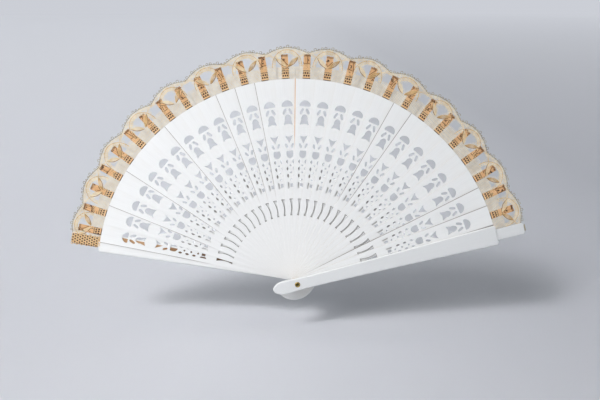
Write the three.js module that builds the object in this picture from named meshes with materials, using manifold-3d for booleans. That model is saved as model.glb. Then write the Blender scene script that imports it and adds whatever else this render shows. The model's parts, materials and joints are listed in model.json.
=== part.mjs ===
// A lace folding fan, spread open. Pierced wooden sticks turn on one rivet between two guards,
// and a lace border is glued to the narrow tips of the sticks.
// Millimetres, +Z up. The fan stands in the XZ plane with its front towards -Y.
// The rivet's axis is the Y axis, and the origin is on it, halfway through the stack of sticks.

import * as THREE from 'three';
import { mergeVertices } from 'three/addons/utils/BufferGeometryUtils.js';
import Module from 'manifold-3d';

const wasm = await Module();
wasm.setup();

// Spread of the open fan, in degrees measured from +X towards +Z
const STICK_COUNT = 27;
const FRONT_GUARD_ANGLE = 14.0;
const STICK_STEP = 5.65;
const REAR_GUARD_STEP = 3.2;

// Layers of the stack, front to back
const STICK_THICKNESS = 0.7;
const LACE_THICKNESS = 0.15;
const LAYER_CLEARANCE = 0.1;
const GUARD_THICKNESS = 2.8;
const GUARD_TIP_THICKNESS = 1.2;
const GUARD_EDGE_CHAMFER = 0.7;

// Radius of the rim where the broad part of the sticks ends, measured from the rivet
const RIM_RADIUS = 181.95;

// Outline of a stick: half widths across it, and lengths along it from the rivet
const STICK_HEEL_LENGTH = 18.5;
const STICK_HEEL_HALF_WIDTH = 5.6;
const STICK_HEAD_HALF_WIDTH = 5.2;
const STICK_WAIST_RADIUS = 60.0;
const STICK_WAIST_HALF_WIDTH = 6.9;
const STICK_MIDDLE_RADIUS = 112.0;
const STICK_MIDDLE_HALF_WIDTH = 7.7;
const STICK_RIM_HALF_WIDTH = 9.9;
const TONGUE_LENGTH = 21.2;
const TONGUE_ROOT_HALF_WIDTH = 3.3;
const TONGUE_END_HALF_WIDTH = 3.0;

// Outline of a guard, measured the same way
const GUARD_HEEL_LENGTH = 22.2;
const GUARD_HEEL_HALF_WIDTH = 6.2;
const GUARD_HEAD_HALF_WIDTH = 5.6;
const GUARD_WAIST_RADIUS = 60.0;
const GUARD_WAIST_HALF_WIDTH = 6.1;
const GUARD_SHOULDER_OVERHANG = 0.9;
const GUARD_SHOULDER_HALF_WIDTH = 8.85;
const GUARD_TIP_LENGTH = 24.7;
const GUARD_TIP_HALF_WIDTH = 4.9;

// The heel's rounded end starts at this distance behind the rivet on sticks and guards
const HEEL_ROUND_START = 11.0;

// Piercings of a stick: lengths along it, from the rivet outwards
const VASE_LENGTH = 14.3;
const RING_LENGTH = 9.5;
const SLIT_LENGTH = 6.3;
const LATTICE_MARGIN = 1.0;
const LATTICE_ROWS = 3;
const LATTICE_PITCH = 6.4;
const BARREL_LENGTH = 6.7;
const BUD_MARGIN = 2.3;
const BUD_LENGTH = 4.2;
const HEART_LENGTH = 7.4;
const HEART_DIP = 1.3;
const HEART_WAIST_LENGTH = 2.4;
const BAND_LENGTH = 8.8;
const BELL_LENGTH = 9.5;
const BELL_ARCH = 1.2;
const BELL_FLARE_LENGTH = 4.75;
const LEAF_LENGTH = 5.3;
const CAP_MARGIN = 1.6;
const CAP_LENGTH = 5.5;
const CAP_LIP = 1.5;
const CAP_SHOULDER_LENGTH = 4.4;
const RIM_BAND_LENGTH = 18.9;

// Piercings of a stick: half widths and places across it
const VASE_HALF_WIDTH = 2.3;
const VASE_WAIST_HALF_WIDTH = 1.05;
const SLIT_OFFSET = 2.65;
const SLIT_WIDTH = 1.3;
const SLIT_END_SLANT = 0.9;
const BLOCK_LENGTH = 3.4;
const BLOCK_HALF_WIDTH = 1.2;
const LATTICE_OFFSET = 2.7;
const LATTICE_HOLE_LENGTH = 4.0;
const LATTICE_HOLE_WIDTH = 1.9;
const LATTICE_DIAMOND = 2.0;
const BARREL_HALF_WIDTH = 3.1;
const BARREL_FOOT_HALF_WIDTH = 2.6;
const BARREL_FOOT_LENGTH = 1.6;
const BUD_INNER_OFFSET = 1.6;
const BUD_OUTER_OFFSET = 3.4;
const BUD_WIDTH = 2.0;
const HEART_HALF_WIDTH = 3.8;
const HEART_WAIST_HALF_WIDTH = 1.25;
const BELL_SHOULDER_HALF_WIDTH = 2.9;
const BELL_SHOULDER_LENGTH = 3.2;
const BELL_RIM_HALF_WIDTH = 4.1;
const LEAF_INNER_OFFSET = 3.8;
const LEAF_OUTER_OFFSET = 1.5;
const LEAF_WIDTH = 2.4;
const CAP_HALF_WIDTH = 4.9;
const CAP_SHOULDER_HALF_WIDTH = 3.05;
const CAP_FOOT_HALF_WIDTH = 4.6;

// Rivet
const SHANK_RADIUS = 1.3;
const RUNNING_CLEARANCE = 0.07;
const RIVET_HEAD_RADIUS = 2.4;
const RIVET_HEAD_THICKNESS = 0.8;
const RIVET_HEAD_DOME = 0.35;
const RIVET_CROWN_RADIUS = 1.45;
const RIVET_CROWN_DOME = 0.25;
const RIVET_SEAT_CLEARANCE = 0.1;
const ROUND_SIDES = 16;
const STICK_HOLE_SIDES = 8;

// Lace border: lengths from the sticks' rim outwards
const LACE_RIM_GAP = 0.4;
const LACE_FOOT_LENGTH = 7.0;
const LACE_VALLEY_LENGTH = 22.2;
const LACE_HEAD_LENGTH = 3.2;
const LACE_LOBE_RISE = 4.8;
const LACE_EDGE_STEPS = 6;

// Scallops of the lace, in degrees along the border; the first lobe is measured from the front guard
const LACE_REPEAT = 10.45;
const LACE_FIRST_LOBE = 5.37;

// Openings of the lace, and the zigzag of leaves that divides each of them
const LACE_NET_MARGIN = 0.8;
const LACE_LEAF_START = 2.0;
const LACE_LEAF_RISE = 3.6;
const LACE_LEAF_WIDTH = 1.6;

// Number of straight steps in the round end of a heel
const HEEL_STEPS = 5;

// How far a cutting tool runs past the face that it cuts, and how close two corners are one
const CUT_OVERRUN = 1.0;
const MERGE_TOLERANCE = 1e-4;

// Radii that follow from the lengths above, with the piercings set inwards from the rim
const capStart = RIM_RADIUS - RIM_BAND_LENGTH - CAP_LENGTH;
const leafStart = capStart - CAP_MARGIN - LEAF_LENGTH;
const bellStart = leafStart - BELL_LENGTH;
const heartStart = bellStart - BAND_LENGTH - HEART_LENGTH;
const budStart = heartStart - BUD_LENGTH;
const barrelStart = budStart - BUD_MARGIN - BARREL_LENGTH;
const latticeStart = barrelStart - LATTICE_MARGIN - LATTICE_ROWS * LATTICE_PITCH;
const slitStart = latticeStart - LATTICE_MARGIN - SLIT_LENGTH;
const vaseStart = slitStart - RING_LENGTH - VASE_LENGTH;
const tongueEnd = RIM_RADIUS + TONGUE_LENGTH;
const guardShoulder = RIM_RADIUS + GUARD_SHOULDER_OVERHANG;
const guardEnd = guardShoulder + GUARD_TIP_LENGTH;

// Depths that follow from the thicknesses above
const layerPitch = STICK_THICKNESS + LACE_THICKNESS + 2 * LAYER_CLEARANCE;
const laceLayer = LACE_THICKNESS + LAYER_CLEARANCE;
const middleStick = (STICK_COUNT + 1) / 2;
const stickBack = (index) => (index - middleStick) * layerPitch + STICK_THICKNESS / 2;
const stickFront = (index) => stickBack(index) - STICK_THICKNESS;
const frontGuardBack = stickFront(1) - 2 * laceLayer - LAYER_CLEARANCE;
const rearGuardFront = stickBack(STICK_COUNT) + laceLayer + LAYER_CLEARANCE;
const seatRadius = RIVET_HEAD_RADIUS + RIVET_SEAT_CLEARANCE;
const seatDepth = RIVET_HEAD_THICKNESS + RIVET_SEAT_CLEARANCE;

// Angles of the sticks and guards; index 0 is the front guard and STICK_COUNT + 1 the rear one
const REAR_INDEX = STICK_COUNT + 1;
const stepBefore = (index) => (index === REAR_INDEX ? REAR_GUARD_STEP : STICK_STEP);
const lastStickAngle = FRONT_GUARD_ANGLE + STICK_COUNT * STICK_STEP;
const angleOf = (index) =>
  index === REAR_INDEX ? lastStickAngle + REAR_GUARD_STEP : FRONT_GUARD_ANGLE + index * STICK_STEP;

const paintedWood = () => new THREE.MeshStandardMaterial({ color: 0xf0f0ee, roughness: 0.5, metalness: 0 });
const laceThread = () => new THREE.MeshStandardMaterial({ color: 0xe0bd8a, roughness: 0.9, metalness: 0 });
const agedBrass = () => new THREE.MeshStandardMaterial({ color: 0x8f7436, roughness: 0.4, metalness: 1 });

const point = (across, along) => new THREE.Vector2(across, along);

// Closed outline from its right half, listed from one end of the axis to the other
function mirrored(rightHalf) {
  const leftHalf = rightHalf
    .filter((p) => p.x > 0)
    .reverse()
    .map((p) => point(-p.x, p.y));
  return [...rightHalf, ...leftHalf];
}

function regularPolygon(sides, flatRadius) {
  const cornerRadius = flatRadius / Math.cos(Math.PI / sides);
  return Array.from({ length: sides }, (_, k) => {
    const turn = ((k + 0.5) * 2 * Math.PI) / sides;
    return point(cornerRadius * Math.cos(turn), cornerRadius * Math.sin(turn));
  });
}

// Four-sided slanted leaf between two points, with its given width at the middle
function leafBetween(start, end, width) {
  const along = end.clone().sub(start).normalize();
  const side = point(-along.y, along.x).multiplyScalar(width / 2);
  const middle = start.clone().add(end).multiplyScalar(0.5);
  return [start, middle.clone().sub(side), end, middle.clone().add(side)];
}

function upright(across, start, length, width) {
  return leafBetween(point(across, start), point(across, start + length), width);
}

function bar(across, start, length, width) {
  const half = width / 2;
  return [
    point(across - half, start),
    point(across + half, start),
    point(across + half, start + length),
    point(across - half, start + length),
  ];
}

const bothSides = (makeHole) => [makeHole(-1), makeHole(1)];

function vasePiercing() {
  return mirrored([
    point(VASE_HALF_WIDTH, vaseStart + VASE_LENGTH),
    point(VASE_WAIST_HALF_WIDTH, vaseStart + VASE_LENGTH / 2),
    point(VASE_HALF_WIDTH, vaseStart),
  ]);
}

// Upright slit beside the stick's axis, whose ends slant so that its outer edge is the longer one
function slitPiercing(side) {
  const inner = side * (SLIT_OFFSET - SLIT_WIDTH / 2);
  const outer = side * (SLIT_OFFSET + SLIT_WIDTH / 2);
  return [
    point(outer, slitStart),
    point(outer, slitStart + SLIT_LENGTH),
    point(inner, slitStart + SLIT_LENGTH - SLIT_END_SLANT),
    point(inner, slitStart + SLIT_END_SLANT),
  ];
}

function slitPiercings() {
  const slits = bothSides(slitPiercing);
  const blockStart = slitStart + (SLIT_LENGTH - BLOCK_LENGTH) / 2;
  return [...slits, bar(0, blockStart, BLOCK_LENGTH, 2 * BLOCK_HALF_WIDTH)];
}

function latticePiercings() {
  const holes = [];
  for (let row = 0; row < LATTICE_ROWS; row += 1) {
    const start = latticeStart + row * LATTICE_PITCH;
    const edgeStart = start + LATTICE_PITCH - LATTICE_HOLE_LENGTH;
    holes.push(upright(0, start, LATTICE_DIAMOND, LATTICE_DIAMOND));
    holes.push(...bothSides((side) =>
      upright(side * LATTICE_OFFSET, edgeStart, LATTICE_HOLE_LENGTH, LATTICE_HOLE_WIDTH)));
  }
  return holes;
}

function barrelPiercing() {
  return mirrored([
    point(BARREL_HALF_WIDTH, barrelStart + BARREL_LENGTH),
    point(BARREL_FOOT_HALF_WIDTH, barrelStart + BARREL_FOOT_LENGTH),
    point(0, barrelStart),
  ]);
}

function budPiercings() {
  return bothSides((side) => leafBetween(
    point(side * BUD_INNER_OFFSET, budStart),
    point(side * BUD_OUTER_OFFSET, budStart + BUD_LENGTH),
    BUD_WIDTH,
  ));
}

function heartPiercing() {
  return mirrored([
    point(0, heartStart + HEART_LENGTH - HEART_DIP),
    point(HEART_HALF_WIDTH, heartStart + HEART_LENGTH),
    point(HEART_WAIST_HALF_WIDTH, heartStart + HEART_WAIST_LENGTH),
    point(0, heartStart),
  ]);
}

function bellPiercing() {
  const top = bellStart + BELL_LENGTH;
  return mirrored([
    point(0, top),
    point(BELL_SHOULDER_HALF_WIDTH, top - BELL_SHOULDER_LENGTH),
    point(BELL_SHOULDER_HALF_WIDTH, bellStart + BELL_FLARE_LENGTH),
    point(BELL_RIM_HALF_WIDTH, bellStart),
    point(0, bellStart + BELL_ARCH),
  ]);
}

function leafPiercings() {
  return bothSides((side) => leafBetween(
    point(side * LEAF_INNER_OFFSET, leafStart),
    point(side * LEAF_OUTER_OFFSET, leafStart + LEAF_LENGTH),
    LEAF_WIDTH,
  ));
}

function capPiercing() {
  return mirrored([
    point(0, capStart + CAP_LENGTH),
    point(CAP_SHOULDER_HALF_WIDTH, capStart + CAP_SHOULDER_LENGTH),
    point(CAP_HALF_WIDTH, capStart + CAP_LIP),
    point(CAP_FOOT_HALF_WIDTH, capStart),
  ]);
}

function stickPiercings() {
  return [
    regularPolygon(STICK_HOLE_SIDES, SHANK_RADIUS + RUNNING_CLEARANCE),
    vasePiercing(),
    ...slitPiercings(),
    ...latticePiercings(),
    barrelPiercing(),
    ...budPiercings(),
    heartPiercing(),
    bellPiercing(),
    ...leafPiercings(),
    capPiercing(),
  ];
}

// Right half of a rounded heel, from its end to where the straight side begins
function heelHalf(length, halfWidth) {
  const reach = length - HEEL_ROUND_START;
  return Array.from({ length: HEEL_STEPS + 1 }, (_, k) => {
    const turn = (k / HEEL_STEPS) * (Math.PI / 2);
    return point(halfWidth * Math.sin(turn), -HEEL_ROUND_START - reach * Math.cos(turn));
  });
}

function stickOutline() {
  return mirrored([
    ...heelHalf(STICK_HEEL_LENGTH, STICK_HEEL_HALF_WIDTH),
    point(STICK_HEAD_HALF_WIDTH, 0),
    point(STICK_WAIST_HALF_WIDTH, STICK_WAIST_RADIUS),
    point(STICK_MIDDLE_HALF_WIDTH, STICK_MIDDLE_RADIUS),
    point(STICK_RIM_HALF_WIDTH, Math.sqrt(RIM_RADIUS ** 2 - STICK_RIM_HALF_WIDTH ** 2)),
    point(TONGUE_ROOT_HALF_WIDTH, RIM_RADIUS),
    point(TONGUE_END_HALF_WIDTH, tongueEnd),
  ]);
}

function guardBodyOutline() {
  return mirrored([
    ...heelHalf(GUARD_HEEL_LENGTH, GUARD_HEEL_HALF_WIDTH),
    point(GUARD_HEAD_HALF_WIDTH, 0),
    point(GUARD_WAIST_HALF_WIDTH, GUARD_WAIST_RADIUS),
    point(GUARD_SHOULDER_HALF_WIDTH, guardShoulder),
  ]);
}

function guardTipOutline() {
  return mirrored([
    point(GUARD_TIP_HALF_WIDTH, guardEnd),
    point(GUARD_TIP_HALF_WIDTH, GUARD_WAIST_RADIUS),
  ]);
}

// Flat plate of an outline: its back at local z = 0, its front at z = thickness
function plate(outline, holes, thickness, chamfer = 0) {
  const shape = new THREE.Shape(outline);
  shape.holes = holes.map((hole) => new THREE.Path(hole));
  const geometry = new THREE.ExtrudeGeometry(shape, {
    depth: thickness - 2 * chamfer,
    bevelEnabled: chamfer > 0,
    bevelThickness: chamfer,
    bevelSize: chamfer,
    bevelOffset: -chamfer,
    bevelSegments: 1,
  });
  return geometry.translate(0, 0, chamfer);
}

function solidOf(geometry) {
  const bare = geometry.clone();
  bare.deleteAttribute('normal');
  bare.deleteAttribute('uv');
  const merged = mergeVertices(bare, MERGE_TOLERANCE);
  return new wasm.Manifold(new wasm.Mesh({
    numProp: 3,
    vertProperties: new Float32Array(merged.attributes.position.array),
    triVerts: new Uint32Array(merged.index.array),
  }));
}

function geometryOf(solid) {
  const mesh = solid.getMesh();
  const geometry = new THREE.BufferGeometry();
  geometry.setAttribute('position', new THREE.BufferAttribute(mesh.vertProperties, 3));
  geometry.setIndex(new THREE.BufferAttribute(mesh.triVerts, 1));
  geometry.computeVertexNormals();
  return geometry;
}

// Round bar along local z, whose flats lie at the given radius
function roundBar(flatRadius, start, end) {
  return plate(regularPolygon(ROUND_SIDES, flatRadius), [], end - start).translate(0, 0, start);
}

// Guard with its inner face at local z = 0, a thinner tip, the rivet's hole and its sunk seat
function guardGeometry() {
  const outside = GUARD_THICKNESS + CUT_OVERRUN;
  const shankHole = roundBar(SHANK_RADIUS + RUNNING_CLEARANCE, -CUT_OVERRUN, outside);
  const seat = roundBar(seatRadius, GUARD_THICKNESS - seatDepth, outside);
  const tip = plate(guardTipOutline(), [], GUARD_TIP_THICKNESS);
  const body = plate(guardBodyOutline(), [], GUARD_THICKNESS, GUARD_EDGE_CHAMFER);
  return geometryOf(solidOf(body).add(solidOf(tip)).subtract(solidOf(shankHole)).subtract(solidOf(seat)));
}

// Point of the lace, at a radius from the rivet and an angle to the right of its own stick
function polar(radius, degrees) {
  const turn = THREE.MathUtils.degToRad(degrees);
  return point(radius * Math.sin(turn), radius * Math.cos(turn));
}

// Place in the lace's repeat, in repeats: 0 at the middle of a lobe and 0.5 at the notch beside it
function fromLobe(index, degrees) {
  const along = angleOf(index) - FRONT_GUARD_ANGLE - degrees - LACE_FIRST_LOBE;
  const repeats = along / LACE_REPEAT;
  return Math.abs(repeats - Math.round(repeats));
}

function laceEdgeRadius(index, degrees) {
  const rise = LACE_LOBE_RISE * Math.cos(Math.PI * fromLobe(index, degrees));
  return RIM_RADIUS + LACE_VALLEY_LENGTH + rise;
}

// Openings of the net between a stick's tip and the fold, on one side of the tip:
// one below the zigzag of leaves and one above it
function netOpenings(index, side, fold) {
  const inner = RIM_RADIUS + LACE_RIM_GAP + LACE_FOOT_LENGTH;
  const outer = RIM_RADIUS + LACE_VALLEY_LENGTH - LACE_HEAD_LENGTH;
  const degreesAt = (radius, across) => THREE.MathUtils.radToDeg(across / radius);
  const tipMargin = TONGUE_ROOT_HALF_WIDTH + LACE_NET_MARGIN;
  const tipDegrees = (radius) => side * degreesAt(radius, tipMargin);
  const foldDegrees = (radius) => side * (fold - degreesAt(radius, LACE_NET_MARGIN));
  const leafRadius = (degrees) =>
    inner + LACE_LEAF_START + 2 * LACE_LEAF_RISE * fromLobe(index, degrees);
  const tipSide = (radius) => polar(radius, tipDegrees(radius));
  const foldSide = (radius) => polar(radius, foldDegrees(radius));
  const tipLeaf = leafRadius(tipDegrees(inner));
  const foldLeaf = leafRadius(foldDegrees(inner));
  return [
    [tipSide(inner), foldSide(inner), foldSide(foldLeaf), tipSide(tipLeaf)],
    [
      tipSide(tipLeaf + LACE_LEAF_WIDTH),
      foldSide(foldLeaf + LACE_LEAF_WIDTH),
      foldSide(outer),
      tipSide(outer),
    ],
  ];
}

// Section of the lace on one stick, from the fold on its left to the fold on its right
function laceGeometry(index) {
  const rightFold = index === 0 ? 0 : stepBefore(index) / 2;
  const guardTipAngle = THREE.MathUtils.radToDeg(GUARD_TIP_HALF_WIDTH / RIM_RADIUS);
  const leftFold = index === REAR_INDEX ? guardTipAngle : stepBefore(index + 1) / 2;
  const spread = leftFold + rightFold;
  const outline = [];
  for (let k = 0; k <= LACE_EDGE_STEPS; k += 1) {
    const degrees = rightFold - (spread * k) / LACE_EDGE_STEPS;
    outline.push(polar(laceEdgeRadius(index, degrees), degrees));
  }
  outline.push(polar(RIM_RADIUS + LACE_RIM_GAP, -leftFold));
  outline.push(polar(RIM_RADIUS + LACE_RIM_GAP, rightFold));
  const holes = [];
  if (leftFold === STICK_STEP / 2) {
    holes.push(...netOpenings(index, -1, leftFold));
  }
  if (rightFold === STICK_STEP / 2) {
    holes.push(...netOpenings(index, 1, rightFold));
  }
  return plate(outline, holes, LACE_THICKNESS);
}

// Rivet: a domed head sunk in the front guard and a shank through the whole stack
function rivetGeometry() {
  const headFront = frontGuardBack - GUARD_THICKNESS;
  const shankEnd = rearGuardFront + GUARD_THICKNESS - RIVET_SEAT_CLEARANCE;
  const profile = [
    point(0, headFront - RIVET_HEAD_DOME),
    point(RIVET_CROWN_RADIUS, headFront - RIVET_CROWN_DOME),
    point(RIVET_HEAD_RADIUS, headFront),
    point(RIVET_HEAD_RADIUS, headFront + RIVET_HEAD_THICKNESS),
    point(SHANK_RADIUS, headFront + RIVET_HEAD_THICKNESS),
    point(SHANK_RADIUS, shankEnd),
    point(0, shankEnd),
  ];
  return new THREE.LatheGeometry(profile, ROUND_SIDES);
}

// Washer on the rivet's far end, sunk in the rear guard
function washerGeometry() {
  const outside = rearGuardFront + GUARD_THICKNESS - RIVET_SEAT_CLEARANCE;
  const inside = outside - RIVET_HEAD_THICKNESS + RIVET_SEAT_CLEARANCE;
  const bore = (SHANK_RADIUS + RUNNING_CLEARANCE) / Math.cos(Math.PI / ROUND_SIDES);
  const profile = [
    point(bore, inside),
    point(RIVET_HEAD_RADIUS, inside),
    point(RIVET_HEAD_RADIUS, outside),
    point(bore, outside),
    point(bore, inside),
  ];
  return new THREE.LatheGeometry(profile, ROUND_SIDES);
}

function named(name, geometry, material) {
  const mesh = new THREE.Mesh(geometry, material);
  mesh.name = name;
  return mesh;
}

// Stands a flat piece up at its angle, with its local z = 0 face at the given depth
function stand(mesh, index, depth) {
  mesh.rotation.x = Math.PI / 2;
  mesh.position.y = depth;
  const turned = new THREE.Group();
  turned.rotation.y = THREE.MathUtils.degToRad(90 - angleOf(index));
  turned.add(mesh);
  return turned;
}

const twoDigits = (index) => String(index).padStart(2, '0');

function laceBack(index) {
  if (index === 0) {
    return frontGuardBack + laceLayer;
  }
  const behind = index === REAR_INDEX ? rearGuardFront : stickFront(index);
  return behind - LAYER_CLEARANCE;
}

const fan = new THREE.Group();

const sharedStick = plate(stickOutline(), stickPiercings(), STICK_THICKNESS);
for (let index = 1; index <= STICK_COUNT; index += 1) {
  fan.add(stand(named(`stick_${twoDigits(index)}`, sharedStick, paintedWood()), index, stickBack(index)));
}

fan.add(stand(named('front_guard', guardGeometry(), paintedWood()), 0, frontGuardBack));

// The rear guard is the same piece turned over, so that its thick side faces the back
const turnedOver = guardGeometry().rotateY(Math.PI);
fan.add(stand(named('rear_guard', turnedOver, paintedWood()), REAR_INDEX, rearGuardFront));

for (let index = 0; index <= REAR_INDEX; index += 1) {
  const section = named(`lace_${twoDigits(index)}`, laceGeometry(index), laceThread());
  fan.add(stand(section, index, laceBack(index)));
}

fan.add(named('rivet', rivetGeometry(), agedBrass()));
fan.add(named('rivet_washer', washerGeometry(), agedBrass()));

export default fan;
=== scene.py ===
"""Looks of the lace folding fan: smooth pierced sticks, rounded guards, an aged rivet and a lace
border of real threads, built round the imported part. Lengths are in millimetres until they are
placed, and angles are in degrees."""

import json
import math
from bisect import bisect
from functools import partialmethod

import bmesh
import bpy
from mathutils import Euler, Matrix, Vector


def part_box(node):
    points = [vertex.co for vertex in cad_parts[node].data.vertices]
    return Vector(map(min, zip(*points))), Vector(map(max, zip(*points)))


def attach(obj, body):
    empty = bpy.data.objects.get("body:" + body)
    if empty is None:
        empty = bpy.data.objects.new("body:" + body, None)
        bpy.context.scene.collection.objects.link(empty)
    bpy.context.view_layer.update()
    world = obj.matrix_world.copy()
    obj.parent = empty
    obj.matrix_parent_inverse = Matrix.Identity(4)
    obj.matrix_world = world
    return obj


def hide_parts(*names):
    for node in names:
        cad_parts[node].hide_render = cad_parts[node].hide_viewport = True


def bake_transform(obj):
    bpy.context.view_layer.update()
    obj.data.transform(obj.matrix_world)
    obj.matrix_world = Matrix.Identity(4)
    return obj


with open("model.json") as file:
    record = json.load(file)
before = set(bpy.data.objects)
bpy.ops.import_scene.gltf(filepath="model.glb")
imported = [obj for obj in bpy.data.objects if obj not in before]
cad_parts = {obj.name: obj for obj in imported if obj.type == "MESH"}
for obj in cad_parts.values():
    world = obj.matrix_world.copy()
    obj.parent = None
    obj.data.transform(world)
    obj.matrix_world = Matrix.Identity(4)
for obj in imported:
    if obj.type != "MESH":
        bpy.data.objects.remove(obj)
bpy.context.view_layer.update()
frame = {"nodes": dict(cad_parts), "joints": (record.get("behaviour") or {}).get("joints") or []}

MM = 0.001
FRONT = Vector((0, -1, 0))
SIDES = (-1, 1)

# Spread of the fan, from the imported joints: number 0 is the front guard, the last one the rear guard
JOINT_LIMITS = {joint["name"]: joint["range_deg"][1] for joint in frame["joints"]}
STICK_STEP = JOINT_LIMITS["fan_fold"]
REAR_GUARD_STEP = JOINT_LIMITS["rear_guard_fold"]
REAR_INDEX = sum(name.startswith("stick_") for name in frame["nodes"]) + 1
BODIES = ("front_guard", *(f"stick_{index:02d}" for index in range(1, REAR_INDEX)), "rear_guard")
FRONT_GUARD_ANGLE = 14
ANGLES = [FRONT_GUARD_ANGLE + index * STICK_STEP for index in range(REAR_INDEX)]
ANGLES.append(ANGLES[-1] + REAR_GUARD_STEP)

# Knots of an outline: it runs smoothly through a soft one and turns a corner at a sharp one
SOFT = "AUTO"
SHARP = "VECTOR"

# Stick: half widths at distances from the rivet, heel's length and half width, edge rounding and its steps
RIM_RADIUS = 181.95
STICK_SIDE = ((5.2, 0), (6.9, 60), (7.7, 112), (9.9, RIM_RADIUS))
STICK_HEEL = (18.5, 5.6)
STICK_THICKNESS = 0.7
STICK_ROUNDING = (0.07, 1)
TONGUE_LENGTH = 21.2
TONGUE_ROOT_HALF_WIDTH = 3.3
TONGUE_END_HALF_WIDTH = 3
HEEL_ROUND_START = 11
HEEL_SHOULDER_TURN = 50

# Guard: the same, its shoulder, and its thinner tip, which is rooted inside the body
GUARD_SIDE = ((5.6, 0), (6.1, 60))
GUARD_HEEL = (22.2, 6.2)
GUARD_SHOULDER = RIM_RADIUS + 0.9
GUARD_SHOULDER_HALF_WIDTH = 8.85
GUARD_THICKNESS = 2.8
GUARD_ROUNDING = (1.2, 4)
GUARD_CORNER = 1.3
GUARD_TIP_ROOT = 150
GUARD_END = GUARD_SHOULDER + 24.7
GUARD_TIP_HALF_WIDTH = 4.9
GUARD_TIP_THICKNESS = 1.2
GUARD_TIP_ROUNDING = (0.3, 2)

# Rivet, its holes and its sunk seats
SHANK_RADIUS = 1.3
SHANK_ROUNDING = 0.2
HOLE_RADIUS = 1.37
HEAD_RADIUS = 2.4
HEAD_THICKNESS = 0.8
WASHER_ROUNDING = 0.15
SEAT_RADIUS = 2.5
SEAT_DEPTH = 0.9
DRILL_OVERRUN = 1
ROUND_STEPS = 32
HOLE_KNOTS = 4

# Hollow head of the rivet: radius, and depth behind the guard's face
HEAD_PROFILE = ((0, 0.1), (0.8, 0.08), (1.2, -0.05), (1.5, -0.25), (1.8, -0.35), (2.1, -0.28),
                (2.32, -0.1), (HEAD_RADIUS, 0.15), (HEAD_RADIUS, HEAD_THICKNESS),
                (SHANK_RADIUS, HEAD_THICKNESS))

# Piercings of a stick, set inwards from the rim: how long each is and where it starts
RIM_BAND_LENGTH = 18.9
CAP_LENGTH = 5.5
CAP_START = RIM_RADIUS - RIM_BAND_LENGTH - CAP_LENGTH
CAP_MARGIN = 1.6
LEAF_LENGTH = 5.3
LEAF_START = CAP_START - CAP_MARGIN - LEAF_LENGTH
BELL_LENGTH = 9.5
BELL_START = LEAF_START - BELL_LENGTH
BAND_LENGTH = 8.8
HEART_LENGTH = 7.4
HEART_START = BELL_START - BAND_LENGTH - HEART_LENGTH
BUD_LENGTH = 4.2
BUD_START = HEART_START - BUD_LENGTH
BUD_MARGIN = 2.3
BARREL_LENGTH = 6.7
BARREL_START = BUD_START - BUD_MARGIN - BARREL_LENGTH
LATTICE_ROWS = 3
LATTICE_PITCH = 6.4
LATTICE_MARGIN = 1
LATTICE_START = BARREL_START - LATTICE_MARGIN - LATTICE_ROWS * LATTICE_PITCH
SLIT_LENGTH = 6.3
SLIT_START = LATTICE_START - LATTICE_MARGIN - SLIT_LENGTH
BLOCK_LENGTH = 3.4
BLOCK_START = SLIT_START + (SLIT_LENGTH - BLOCK_LENGTH) / 2
RING_LENGTH = 9.5
VASE_LENGTH = 14.3
VASE_START = SLIT_START - RING_LENGTH - VASE_LENGTH

# Piercings on a stick's axis, as right halves: half width, distance from the start, and kind of knot
VASE_HALF_WIDTH = 2.3
VASE_WAIST_HALF_WIDTH = 1.05
VASE = ((VASE_HALF_WIDTH, VASE_LENGTH, SHARP), (VASE_WAIST_HALF_WIDTH, VASE_LENGTH / 2, SOFT),
        (VASE_HALF_WIDTH, 0, SHARP))
BLOCK = ((1.2, 0, SHARP), (1.2, BLOCK_LENGTH, SHARP))
BARREL = ((2.7, BARREL_LENGTH, SHARP), (3.1, 4.02, SOFT), (2.6, 1.6, SOFT), (0, 0, SOFT))
HEART = ((0, 6.1, SOFT), (3.8, HEART_LENGTH, SHARP), (1.25, 2.4, SOFT), (0, 0, SHARP))
BELL = ((0, BELL_LENGTH, SOFT), (2.9, 6.3, SOFT), (2.7, 4.75, SHARP), (4.1, 0, SHARP),
        (0, 1.2, SOFT))
CAP = ((0, CAP_LENGTH, SOFT), (3.05, 4.4, SOFT), (4.9, 1.5, SOFT), (4.6, 0, SHARP))

# Piercings in pairs beside the axis: place across where each starts and ends, and width
BUD_PLACES = (1.6, 3.4)
BUD_WIDTH = 2
LEAF_PLACES = (3.8, 1.5)
LEAF_WIDTH = 2.4
SLIT_INNER = 2
SLIT_OUTER = 3.3
SLIT_SLANT = 0.9
LATTICE_OFFSET = 2.7
LATTICE_HOLE_LENGTH = 4
LATTICE_HOLE_WIDTH = 1.9
LATTICE_DIAMOND = 2

# Lace: the strip's mid radius turns degrees along the border into lengths
MID_RADIUS = 194
MM_PER_DEGREE = math.radians(MID_RADIUS)
REPEAT = 10.45 * MM_PER_DEGREE
FIRST_LOBE = 5.37 * MM_PER_DEGREE
VALLEY = 22.2
LOBE_RISE = 4.8
LOBE_NUMBERS = range(-1, 16)
LINE_STEP = 0.85
SHARE_STEP = 0.1

# Places of the stick axes along the strip, the lace's depth on each of them, and the strip's ends
COLUMNS = [(angle - FRONT_GUARD_ANGLE) * MM_PER_DEGREE for angle in ANGLES]
LACE_DEPTHS = [sum(corner.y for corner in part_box(f"lace_{index:02d}")) / 2 / MM
               for index in range(REAR_INDEX + 1)]
END_HALF_WIDTH = 4.7
FRONT_END = -4.2
REAR_END = COLUMNS[-1] - END_HALF_WIDTH

# The lace passes from the front of one tip to the next within this part of a bay
DROP_START = 0.18
DROP_END = 0.32

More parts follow.
